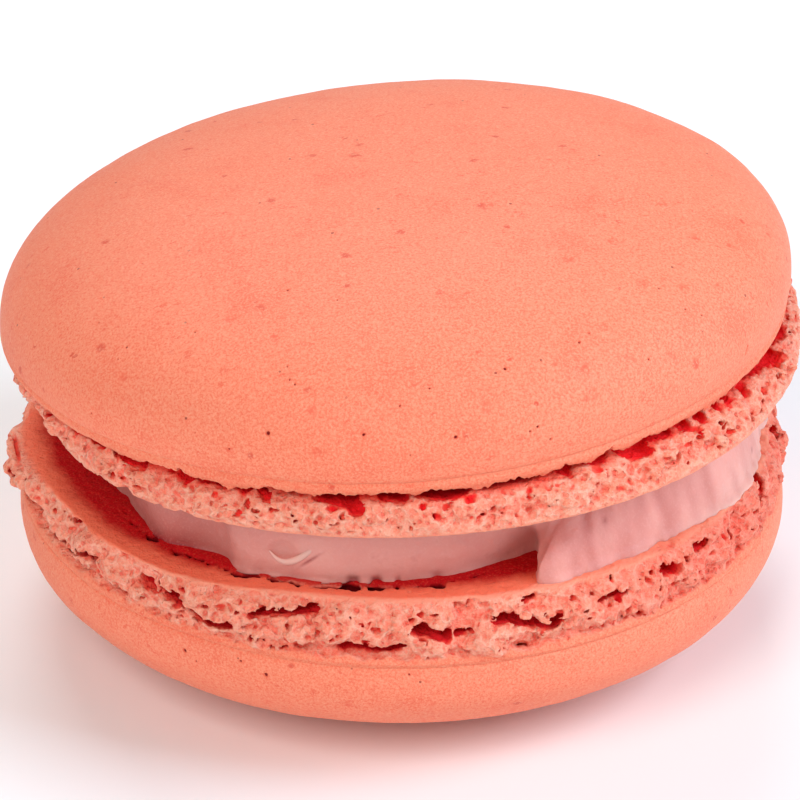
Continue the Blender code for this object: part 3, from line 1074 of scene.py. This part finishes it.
def foot_finish(name, colours):
    material, tree, surface, place = finish_base(name)
    skin, _ = skin_colour(tree, place, colours)
    sunk, shown = value_of(tree, "sunk"), value_of(tree, "skin")
    flat, inward = value_of(tree, "flat"), value_of(tree, "inward")
    beside = value_of(tree, "beside")
    patch = noise_in(tree, place, 1.6 * MM, 3.0, 0.6)
    red = noise_in(tree, place, 0.8 * MM, 2.0, 0.6)

    # Small burst bubbles: redder in their hearts, with thin pale walls.
    x, y, z = parts_of(tree, place)
    shift = noise_in(tree, place, 0.5 * MM, 2.0) * (0.16 * MM)
    moved = vector_of(tree, x + shift, y - shift, z + shift)
    heart, luck = cells_in(tree, moved, 0.46 * MM)
    tiny, _ = cells_in(tree, moved, 0.22 * MM)
    open_heart = (1.0 - eased(heart, 0.12, 0.42)) * eased(luck, 0.25, 0.6)
    walls = eased(heart, 0.4, 0.75) * 0.6 + eased(tiny, 0.4, 0.75) * 0.4
    speck = noise_in(tree, place, 0.12 * MM, 2.0, 0.7)
    lower = (1.0 - eased(z, 12.0 * MM, 15.0 * MM)) * 0.5
    rosy = eased(x, 6.0 * MM, 17.0 * MM)
    crumb = painted(
        tree,
        colours.crumb,
        (held(0.5 + patch), colours.crumb_light),
        (eased(red, 0.0, 0.5) * 0.5, colours.crumb_red),
        # Painted shade: redder in the creases between the lumps.
        (value_of(tree, "crease") * 0.75, colours.crumb_red),
        (walls * 0.7, colours.crumb_pale),
        (open_heart * 0.75, colours.crumb_red),
        (held(speck * 0.8, 0.0, 0.4), colours.crumb_pale),
        (held(speck * -0.8, 0.0, 0.45), colours.crumb_red),
        (lower * rosy * 0.7, colours.crumb_red),
        # Painted shade: redder, then deep saturated red to near black, the deeper a place lies in a
        # hollow.
        (eased(sunk, 0.05, 0.35) * 0.85, colours.crumb_red),
        (
            eased(sunk, 0.2, 0.8),
            mixed(tree, lower * (0.7 - rosy * 0.7), colours.hollow, colours.hole_shade),
        ),
    )

    # The flat face: a painted highlight along its rim, deeper red inwards, and painted shade beside
    # the cream and in its holes.
    flat = larger(flat, eased(inward, 0.28, 0.4))
    within = eased(inward + patch * 0.14, 0.19, 0.5)
    face = painted(
        tree,
        # Painted highlight: the pale crumb stays only along the rim's edge.
        colours.crumb_light,
        (eased(inward + patch * 0.04, 0.0, 0.07), colours.face),
        # Deeper red inwards: partly the face's own colour, partly painted shade under the upper
        # shell.
        (within, colours.face_deep_and_shade),
        # Painted shade beside the cream.
        (eased(beside + patch * 0.5, 0.35, 0.9) * 0.85, colours.face_deep_and_shade),
        (held(speck * 0.5, 0.0, 0.25), colours.face),
        (eased(sunk, 0.08, 0.4), colours.face_deep_and_shade),
    )
    # Painted shade: near black in the holes beside the cream.
    hole_shade = eased(sunk, 0.12, 0.5) * eased(beside, 0.2, 0.5)
    whole = painted(tree, crumb, (flat, face), (hole_shade, colours.hole_shade), (shown, skin))
    dull = larger(eased(sunk, 0.1, 0.5), flat * within)
    set_surface(tree, surface, whole, 0.7, 0.25 - dull * 0.2, 0.2, (1.0, 0.3, 0.2), 0.5 * MM)
    curl = (walls - open_heart) * (1.0 - shown) * (1.0 - flat * 0.6)
    relief(tree, surface, (curl, 0.09 * MM), (speck, 0.03 * MM))
    return material


def cream_finish(name, colours):
    material, tree, surface, place = finish_base(name)
    cloud = noise_in(tree, place, 2.6 * MM, 3.0, 0.6)
    tint = noise_in(tree, place, 1.3 * MM, 3.0, 0.65)
    grain = noise_in(tree, place, 0.13 * MM, 2.0, 0.6)
    cream = painted(
        tree,
        colours.cream,
        (held(0.5 + cloud * 0.9), colours.cream_light),
        # Painted shade from the shade value, with random mottling.
        (larger(value_of(tree, "shade"), eased(tint, 0.15, 0.6) * 0.3), colours.cream_deep),
        # Painted shade and stains, from stain_and_shade.
        (value_of(tree, "stain_and_shade"), colours.cream_stain_and_shade),
        # Painted light, from lit.
        (value_of(tree, "lit"), colours.cream_pale),
        (held(grain * 0.3, 0.0, 0.3), colours.cream_pale),
    )
    set_surface(tree, surface, cream, 0.5, 0.35, 0.3, (1.0, 0.5, 0.4), 0.8 * MM)
    soft = noise_in(tree, place, 0.7 * MM, 2.0)
    relief(tree, surface, (soft, 0.05 * MM), (grain, 0.008 * MM))
    return material


# Cream.


def outward_of(loop):
    """Outward directions along a closed curve."""
    along = np.roll(loop, -3, 0) - np.roll(loop, 3, 0)
    along /= np.hypot(*along.T)[:, None]
    return np.stack((along[:, 1], -along[:, 0]), 1)


def smooth_loop(points, count):
    """A closed curve through points, walked in even steps."""
    points = np.array(points)
    fine = np.linspace(0, len(points), len(points) * 24, endpoint=False)
    i = np.floor(fine).astype(int)
    t = (fine - i)[:, None]
    p = [points[(i + k) % len(points)] for k in (-1, 0, 1, 2)]
    curve = 0.5 * (
        2.0 * p[1]
        + (p[2] - p[0]) * t
        + (2.0 * p[0] - 5.0 * p[1] + 4.0 * p[2] - p[3]) * t**2
        + (3.0 * p[1] - p[0] - 3.0 * p[2] + p[3]) * t**3
    )
    ends = np.concatenate((curve, curve[:1]))
    way = np.concatenate(([0.0], np.cumsum(np.hypot(*np.diff(ends, axis=0).T))))
    even = np.linspace(0.0, way[-1], count, endpoint=False)
    return np.stack([np.interp(even, way, ends[:, axis]) for axis in (0, 1)], 1)


def cream_outline(sizes):
    """The cream's outline from above, from the back by the left, the front and the right."""
    plain = [(b, cream_radius(sizes, float(b))) for b in range(-180, -149, 6)]
    given = [(b, r * MM) for b, r in CREAM_OUTLINE]
    rest = [(b, cream_radius(sizes, float(b))) for b in range(0, 176, 6)]
    return [(r * math.cos(b * TURN), r * math.sin(b * TURN)) for b, r in plain + given + rest]


def cream_loops(sizes, columns):
    """The cream's outline at its base, and a gentler one for higher up, each with its swell."""
    base = smooth_loop(cream_outline(sizes), columns)
    turn, reach = np.degrees(np.arctan2(base[:, 1], base[:, 0])), np.hypot(*base.T)
    base_swell = eased(turn, -71.0, -69.0) * (1.0 - eased(turn, 35.0, 75.0))
    base_swell = np.where((turn < -55.0) & (reach < 19.6 * MM), 0.0, base_swell)
    base_swell = np.convolve(np.tile(base_swell, 3), np.ones(7) / 7.0, "same")
    base_swell = base_swell[columns : 2 * columns]
    # Higher up, the sharp corner where the swell begins gives way to a gentle turn.
    corner = np.flatnonzero((turn > -76.0) & (turn < -48.0))
    first, last = corner[0], corner[-1] + 1
    way = np.linspace(0.0, 1.0, last - first)
    soft = eased(way, 0.0, 1.0)
    gentle_turn = TURN * (turn[first] + (turn[last - 1] - turn[first]) * way)
    gentle_reach = reach[first] + (reach[last - 1] - reach[first]) * soft
    gentle, gentle_swell = base.copy(), base_swell.copy()
    gentle[first:last, 0] = gentle_reach * np.cos(gentle_turn)
    gentle[first:last, 1] = gentle_reach * np.sin(gentle_turn)
    gentle_swell[first:last] = soft
    return base, base_swell, gentle, gentle_swell


def cream_relief(place, bearing, up, level, swell):
    """How far the cream's wall stands out from its outline, apart from its marks."""
    push = 0.22 * MM * wavering(place * (1.0, 1.0, 0.5), 3.4 * MM, 4.0)
    push += 0.06 * MM * wavering(place * (1.0, 1.0, 0.45), 1.1 * MM, 9.0)
    push += 0.02 * MM * wavering(place, 0.45 * MM, 2.0)
    # Plain wall: a little foot where it meets the face, and a slight belly above it.
    foot = 0.22 * MM * np.exp(-up / (0.16 * MM)) * (1.0 + wavering(place, 1.3 * MM, 6.0))
    belly = 0.25 * MM * math.sin(math.pi * level) - 0.3 * MM * eased(level, 0.75, 1.0)
    # Swell: it leans in towards its top, and ends below in a thin smeared edge.
    lean = -1.15 * MM * eased(up, 0.3 * MM, 4.2 * MM)
    ragged = wavering(place * (1.0, 1.0, 0.0), 1.5 * MM, 7.0)
    ragged += 0.5 * wavering(place * (1.0, 1.0, 0.0), 0.5 * MM, 3.0)
    smear = (0.3 + 0.3 * ragged) * MM * np.exp(-((up / (0.34 * MM)) ** 2))
    smear = smear * (1.0 - 0.9 * swelling(bearing, -69.0, 3.0))
    return push + (foot + belly) * (1.0 - swell) + (lean + smear) * swell


def cream_marks(bearing, height, up, swell):
    """Where the cream is folded, scooped out and scored, and notched above the face's holes."""
    fold = swelling(bearing, -58.6, 0.9) * eased(height, 13.2 * MM, 14.6 * MM) * swell
    across = wrapped(bearing + 109.4) / 2.3
    rise = (height - 13.5 * MM) / (0.62 * MM)
    scoop = np.exp(-((across**2 + (rise + 0.12 * across**2) ** 2) ** 1.5)) * (1.0 - swell)
    line = height - 13.08 * MM - (bearing + 105.0) * 0.28 * MM
    score = swelling(bearing, -105.0, 1.5) * hump(line, 0.0, 0.11 * MM)
    notch = swelling(bearing, -98.0, 1.1, 4.0) + swelling(bearing, -94.2, 0.9, 4.0)
    notch += 0.6 * swelling(bearing, -90.6, 0.5, 4.0) + 0.7 * swelling(bearing, -83.9, 1.1)
    return fold, scoop, score, notch * np.exp(-((up / (0.3 * MM)) ** 2))


def cream_tints(place, bearing, height, up, level, swell, fold, score, notch):
    """How far the cream gets stains and painted shade in its marks, painted light, and painted
    shade, for its finish to read.
    """
    # Painted shade in the fold, along the score line, in the notches and along the base, darkest at
    # the left base; two small dark spots too.
    stain_and_shade = 0.75 * score + 0.35 * fold + 0.4 * np.exp(-up / (0.14 * MM)) * (1.0 - swell)
    stain_and_shade += 0.5 * swelling(bearing, -55.2, 0.5) * hump(height, 14.0 * MM, 0.18 * MM)
    stain_and_shade += 0.8 * swelling(bearing, -17.1, 0.6) * hump(height, 12.75 * MM, 0.2 * MM)
    stain_and_shade += 0.6 * notch + 0.9 * swelling(bearing, -131.0, 7.0) * np.exp(-up / (0.8 * MM))
    # Painted light: paler towards the swell's right, and most along its thin lower edge.
    lit = 0.45 * np.exp(-up / (0.3 * MM)) + 0.15
    lit = lit * swell * eased(bearing, -54.0, -26.0)
    brushed = wavering(place * (1.0, 1.0, 0.3), 0.9 * MM, 5.0) * swell
    # Painted shade: darker on the left and towards the top, where the upper shell hangs over. The
    # swell is also darker all over, in streaks.
    shade = 0.7 * (1.0 - eased(bearing, -130.0, -100.0)) * (1.0 - swell)
    shade = shade + 0.55 * eased(level, 0.5, 1.0) + (0.45 + 0.6 * brushed) * swell
    return {"stain_and_shade": stain_and_shade, "lit": lit, "shade": shade}


def cream_piece(sizes, material):
    """The cream: a drawn-in wall, a swell that is smeared over the rim, and a scooped mark."""
    columns, rows = ((1240, 62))
    base, base_swell, gentle, gentle_swell = cream_loops(sizes, columns)
    base_out, gentle_out = outward_of(base), outward_of(gentle)
    low = sizes.lower_face - 0.06 * MM
    high = sloped(sizes.upper_face, UPPER_FACE_SLOPE, gentle[:, 0], gentle[:, 1]) + 0.06 * MM
    points, tints = [], []
    for level in np.linspace(0.0, 1.0, rows) ** 1.15:
        height = low + (high - low) * level
        up = height - low
        turned = eased(up, 0.9 * MM, 3.2 * MM)
        loop = base + (gentle - base) * turned[:, None]
        out = base_out + (gentle_out - base_out) * turned[:, None]
        swell = base_swell + (gentle_swell - base_swell) * turned
        bearing = np.degrees(np.arctan2(loop[:, 1], loop[:, 0]))
        place = np.stack((loop[:, 0], loop[:, 1], height), 1)
        fold, scoop, score, notch = cream_marks(bearing, height, up, swell)
        push = cream_relief(place, bearing, up, level, swell)
        push -= MM * (0.12 * fold + 0.34 * scoop + 0.12 * score + 0.3 * notch)
        points.append(np.column_stack((loop + out * push[:, None], height)))
        tints.append(
            cream_tints(place, bearing, height, up, level, swell, fold, score, notch)
        )
    faces = []
    for row in range(rows - 1):
        for i in range(columns):
            j = (i + 1) % columns
            a, b = row * columns, (row + 1) * columns
            faces.append((a + i, a + j, b + j, b + i))
    bottom, top, last = rows * columns, rows * columns + 1, (rows - 1) * columns
    faces += [(bottom, (i + 1) % columns, i) for i in range(columns)]
    faces += [(top, last + i, last + (i + 1) % columns) for i in range(columns)]
    ends = np.array([(0.0, 0.0, low), points[-1].mean(0)])
    values = {
        name: np.concatenate((*(np.clip(row[name], 0.0, 1.0) for row in tints), (0.0, 0.0)))
        for name in tints[0]
    }
    return plain_piece("cream", np.concatenate((*points, ends)), faces, material, values)


def curl_piece(sizes, material):
    """The thin sliver of cream that stands up along the lower edge of the scooped mark."""
    given = ((-111.7, 13.40), (-110.4, 13.00), (-108.8, 12.86), (-106.6, 13.22), (-103.9, 14.12))
    steps, sides = 40, 10
    t = np.linspace(0.0, 1.0, steps)
    knots = np.linspace(0.0, 1.0, len(given))
    bearing, height = (np.polyval(np.polyfit(knots, row, 4), t) for row in zip(*given))
    turns, radii = zip(*CREAM_DRAWN_IN)
    radius = (np.interp(bearing, turns, radii) + 0.22) * MM
    cos, sin = np.cos(bearing * TURN), np.sin(bearing * TURN)
    path = np.stack((radius * cos, radius * sin, height * MM), 1)
    away = np.stack((cos, sin, np.zeros(steps)), 1)
    along = np.gradient(path, axis=0)
    across = np.cross(along / np.linalg.norm(along, axis=1)[:, None], away)
    taper = np.sin(math.pi * (t**1.6 * 0.97 + 0.015)) ** 0.5
    points, faces = [], []
    for i in range(steps):
        for k in range(sides):
            turn = 2.0 * math.pi * k / sides
            side = across[i] * (0.21 * MM * taper[i] * math.cos(turn))
            points.append(path[i] + side + away[i] * (0.1 * MM * taper[i] * (math.sin(turn) + 0.4)))
    for i in range(steps - 1):
        for k in range(sides):
            a, b = i * sides + k, i * sides + (k + 1) % sides
            faces.append((a, b, b + sides, a + sides))
    faces.append(tuple(range(sides - 1, -1, -1)))
    faces.append(tuple((steps - 1) * sides + k for k in range(sides)))
    # Painted light: the raised sliver is made paler all along.
    values = {"lit": np.full(len(points), 0.65)}
    piece = plain_piece("cream_curl", points, faces, material, values)
    mesh = bmesh.new()
    mesh.from_mesh(piece.data)
    bmesh.ops.recalc_face_normals(mesh, faces=mesh.faces)
    mesh.to_mesh(piece.data)
    mesh.free()
    return piece


# What a user may change.


def length(name, description, default):
    return bpy.props.FloatProperty(
        name=name, description=description, default=default * MM, unit="LENGTH", precision=6
    )


def colour(name, description, default):
    return bpy.props.FloatVectorProperty(
        name=name, description=description, default=default, subtype="COLOR", min=0.0, max=1.0
    )


class MacaronSizes(bpy.types.PropertyGroup):
    """Sizes of the macaron's visible pieces."""

    lower_radius: length("Lower radius", "Radius of the lower shell", 22.05)
    lower_widest: length("Lower widest", "Height of the lower shell's widest ring", 7.12)
    lower_depth: length("Lower depth", "Depth of the lower shell's dome", 7.5)
    lower_skin_top: length("Lower skin top", "Height where the lower skin ends", 8.85)
    lower_face: length("Lower face", "Height of the lower shell's flat face", 11.85)
    rim_radius: length("Rim radius", "Radius of the lower shell's rim", 20.5)
    upper_radius: length("Upper radius", "Radius of the upper shell", 22.4)
    upper_offset: length("Upper offset", "How far the upper dome stands along X", -0.4)
    upper_widest: length("Upper widest", "Height of the upper shell's widest ring", 19.9)
    upper_rise: length("Upper rise", "Rise of the upper dome over its widest ring", 7.7)
    upper_lip_radius: length("Upper lip radius", "Radius of the upper skin's edge", 21.9)
    upper_face: length("Upper face", "Height of the upper shell's flat face", 16.93)
    upper_foot_radius: length("Upper foot radius", "Radius of the upper foot", 22.35)
    upper_foot_flare: length("Upper foot flare", "How far the foot spreads at the right", 0.95)
    upper_foot_tall: length("Upper foot height", "Height of the upper foot", 2.35)
    cream_radius: length("Cream radius", "Radius of the cream where it is drawn in", 18.3)
    cream_swell_radius: length("Cream swell", "Radius of the cream where it swells", 20.65)
    foot_depth: length("Foot depth", "How far in from its edge a foot reaches", 5.6)
    foot_grain: length("Foot grain", "Finest step that a foot is grown in", 0.086)
    lump_size: length("Lump size", "Size of the lumps in the froth", 1.7)
    lump_height: length("Lump height", "Height of the lumps in the froth", 0.55)
    pore_size: length("Pore size", "Size of the small pores in the froth", 0.62)


class MacaronColours(bpy.types.PropertyGroup):
    """Colours of the macaron's finishes."""

    skin: colour("Skin", "Baked skin", (0.93, 0.23, 0.122))
    skin_pale: colour("Pale skin", "Paler patches of the skin", (0.94, 0.27, 0.155))
    skin_light: colour("Light grain", "Light grains in the skin", (0.95, 0.36, 0.225))
    skin_red: colour("Red skin", "Reddish blotches and streaks", (0.86, 0.125, 0.064))
    freckle: colour("Freckle", "Small red specks in the skin", (0.72, 0.075, 0.04))
    # Painted shade for pinholes and the deeper pits.
    pit_shade: colour("Pinhole", "Pinholes and pits in the skin", (0.22, 0.006, 0.006))
    crumb: colour("Crumb", "Broken crumb of the feet", (0.95, 0.255, 0.15))
    crumb_light: colour("Light crumb", "Lighter crumb", (0.96, 0.33, 0.21))
    crumb_pale: colour("Pale crumb", "Palest edges in the crumb", (0.99, 0.52, 0.38))
    # Also painted shade in the creases and hollows of the feet.
    crumb_red: colour("Red crumb", "Crumb between its lumps", (0.90, 0.085, 0.05))
    # Painted shade deep in the feet's hollows.
    hollow: colour("Hollow", "Depths of the hollows", (0.94, 0.02, 0.024))
    face: colour("Flat face", "Flat face of a shell near its rim", (0.96, 0.20, 0.105))
    # The face's deeper colour inwards, and painted shade there and beside the cream.
    face_deep_and_shade: colour("Deep face", "Flat face beside the cream", (0.50, 0.006, 0.010))
    # Painted shade for the holes in the flat face and the deepest hollows low on the lower foot.
    hole_shade: colour("Burnt", "Dark holes in the flat face", (0.14, 0.002, 0.004))
    cream: colour("Cream", "Cream", (0.79, 0.33, 0.28))
    cream_light: colour("Light cream", "Lighter clouds in the cream", (0.84, 0.41, 0.35))
    # Also painted light on the swell's right and on the raised sliver.
    cream_pale: colour("Pale cream", "Thin edges and lit ridges of the cream", (0.90, 0.56, 0.47))
    # Painted shade, and random mottling.
    cream_deep: colour("Deep cream", "Shaded and deeper places in the cream", (0.58, 0.175, 0.145))
    # Painted shade in the cream's marks and along its base, and small dark spots.
    cream_stain_and_shade: colour("Stain", "Red marks in the cream", (0.35, 0.015, 0.02))


# Operators.


def direction(bearing, lift):
    """The unit vector towards a bearing and an angle above the floor."""
    level = math.cos(lift * TURN)
    return Vector(
        (level * math.cos(bearing * TURN), level * math.sin(bearing * TURN), math.sin(lift * TURN))
    )


class MACARON_OT_skins(bpy.types.Operator):
    """Make the smooth baked skins of both shells"""

    bl_idname = "macaron.skins"
    bl_label = "Skins"

    def execute(self, context):
        sizes = context.scene.macaron_sizes
        finish = skin_finish("baked_skin", context.scene.macaron_colours)
        upper_pits = UPPER_PITS + tuple((*spot, *SPECK) for spot in UPPER_SPECKS)
        upper_pits += tuple((*spot, *FLECK) for spot in UPPER_FLECKS)
        fitted(skin_piece("top_skin", sizes, True, upper_pits, finish, 11.0), "top_shell")
        fitted(skin_piece("bottom_skin", sizes, False, LOWER_PITS, finish, 4.0), "bottom_shell")
        return {"FINISHED"}


class MACARON_OT_feet(bpy.types.Operator):
    """Grow the porous feet of both shells"""

    bl_idname = "macaron.feet"
    bl_label = "Feet"

    def execute(self, context):
        sizes = context.scene.macaron_sizes
        finish = foot_finish("baked_crumb", context.scene.macaron_colours)
        upper = bubbles_of(sizes, True, UPPER_HOLLOWS + seeded_hollows(21, 40, 0.5, 0.98), 1.15)
        lower = bubbles_of(sizes, False, LOWER_HOLLOWS + seeded_hollows(34, 40, 0.15, 0.9), 1.35)
        for side, bubbles in (("top", upper), ("bottom", lower + face_bubbles(sizes))):
            host = bubble_mesh(side + "_hollows", bubbles)
            tree = foot_tree(sizes, side == "top")
            fitted(grown(side + "_foot", host, tree, finish), side + "_shell")
        return {"FINISHED"}


class MACARON_OT_cream(bpy.types.Operator):
    """Make the cream between the shells and its raised curl"""

    bl_idname = "macaron.cream"
    bl_label = "Cream"

    def execute(self, context):
        sizes = context.scene.macaron_sizes
        finish = cream_finish("pink_cream", context.scene.macaron_colours)
        fitted(cream_piece(sizes, finish), "filling")
        fitted(curl_piece(sizes, finish), "filling")
        return {"FINISHED"}


class MACARON_OT_stage(bpy.types.Operator):
    """Set the floor, the soft lights and the camera round the macaron"""

    bl_idname = "macaron.stage"
    bl_label = "Stage"

    def execute(self, context):
        scene = context.scene
        half = 3.0
        corners = ((-half, -half), (half, -half), (half, half), (-half, half))
        mesh = bpy.data.meshes.new("floor")
        mesh.from_pydata([(x, y, 0.0) for x, y in corners], [], [(0, 1, 2, 3)])
        floor = bpy.data.objects.new("floor", mesh)
        scene.collection.objects.link(floor)
        paint = bpy.data.materials.new("studio_white")
        paint.use_nodes = True
        surface = paint.node_tree.nodes["Principled BSDF"]
        surface.inputs["Base Color"].default_value = (0.93, 0.93, 0.93, 1.0)
        surface.inputs["Roughness"].default_value = 0.9
        mesh.materials.append(paint)

        world = bpy.data.worlds.new("studio")
        world.use_nodes = True
        sky = world.node_tree.nodes["Background"]
        sky.inputs["Color"].default_value = (1.0, 1.0, 1.0, 1.0)
        sky.inputs["Strength"].default_value = 0.22
        scene.world = world

        middle = Vector((0.0, 0.0, 14.0 * MM))
        for name, bearing, lift, power, tint in (
            ("key", -14.0, 36.0, 2.05, (0.92, 1.04, 1.19)),
            ("low", -25.0, 6.0, 0.3, (0.95, 1.04, 1.15)),
            ("back", 100.0, 50.0, 1.3, (0.97, 1.02, 1.06)),
            ("front", -118.0, 40.0, 1.65, (1.02, 0.99, 0.96)),
        ):
            lamp = bpy.data.lights.new(name, "AREA")
            lamp.shape = "SQUARE"
            lamp.size = 0.3
            lamp.energy = power
            lamp.color = tint
            light = bpy.data.objects.new(name, lamp)
            towards = direction(bearing, lift)
            light.location = middle + towards * LAMP_AWAY
            light.rotation_mode = "QUATERNION"
            light.rotation_quaternion = towards.to_track_quat("Z", "Y")
            scene.collection.objects.link(light)

        lens = bpy.data.cameras.new("camera")
        for name, value in (
            ("lens", 225.4),
            ("sensor_width", 36.0),
            ("shift_x", -0.001875),
            ("shift_y", 0.013125),
            ("clip_start", 0.01),
            ("clip_end", 20.0),
        ):
            setattr(lens, name, value)
        camera = bpy.data.objects.new("camera", lens)
        away = direction(FRONT, CAMERA_LIFT)
        level = context.scene.macaron_sizes.lower_face
        camera.location = Vector((0.0, 0.0, level)) + away * CAMERA_AWAY
        camera.rotation_mode = "QUATERNION"
        camera.rotation_quaternion = (-away).to_track_quat("-Z", "Y")
        scene.collection.objects.link(camera)
        scene.camera = camera
        scene.view_settings.view_transform = "Standard"
        return {"FINISHED"}


class MACARON_PT_dresser(bpy.types.Panel):
    """Lists the steps that dress the macaron."""

    bl_idname = "MACARON_PT_dresser"
    bl_label = "Macaron"
    bl_space_type = "VIEW_3D"
    bl_region_type = "UI"
    bl_category = "Macaron"

    def draw(self, context):
        for step in STEPS:
            self.layout.operator(step.bl_idname)
        for group in (context.scene.macaron_sizes, context.scene.macaron_colours):
            for name in group.__annotations__:
                self.layout.prop(group, name)


STEPS = (MACARON_OT_skins, MACARON_OT_feet, MACARON_OT_cream, MACARON_OT_stage)
CLASSES = (MacaronSizes, MacaronColours, *STEPS, MACARON_PT_dresser)


def register():
    for kind in CLASSES:
        bpy.utils.register_class(kind)
    bpy.types.Scene.macaron_sizes = bpy.props.PointerProperty(type=MacaronSizes)
    bpy.types.Scene.macaron_colours = bpy.props.PointerProperty(type=MacaronColours)


def unregister():
    del bpy.types.Scene.macaron_colours
    del bpy.types.Scene.macaron_sizes
    for kind in reversed(CLASSES):
        bpy.utils.unregister_class(kind)


def main():
    register()
    bpy.ops.macaron.skins()
    bpy.ops.macaron.feet()
    bpy.ops.macaron.cream()
    bpy.ops.macaron.stage()


if __name__ == "__main__":
    main()
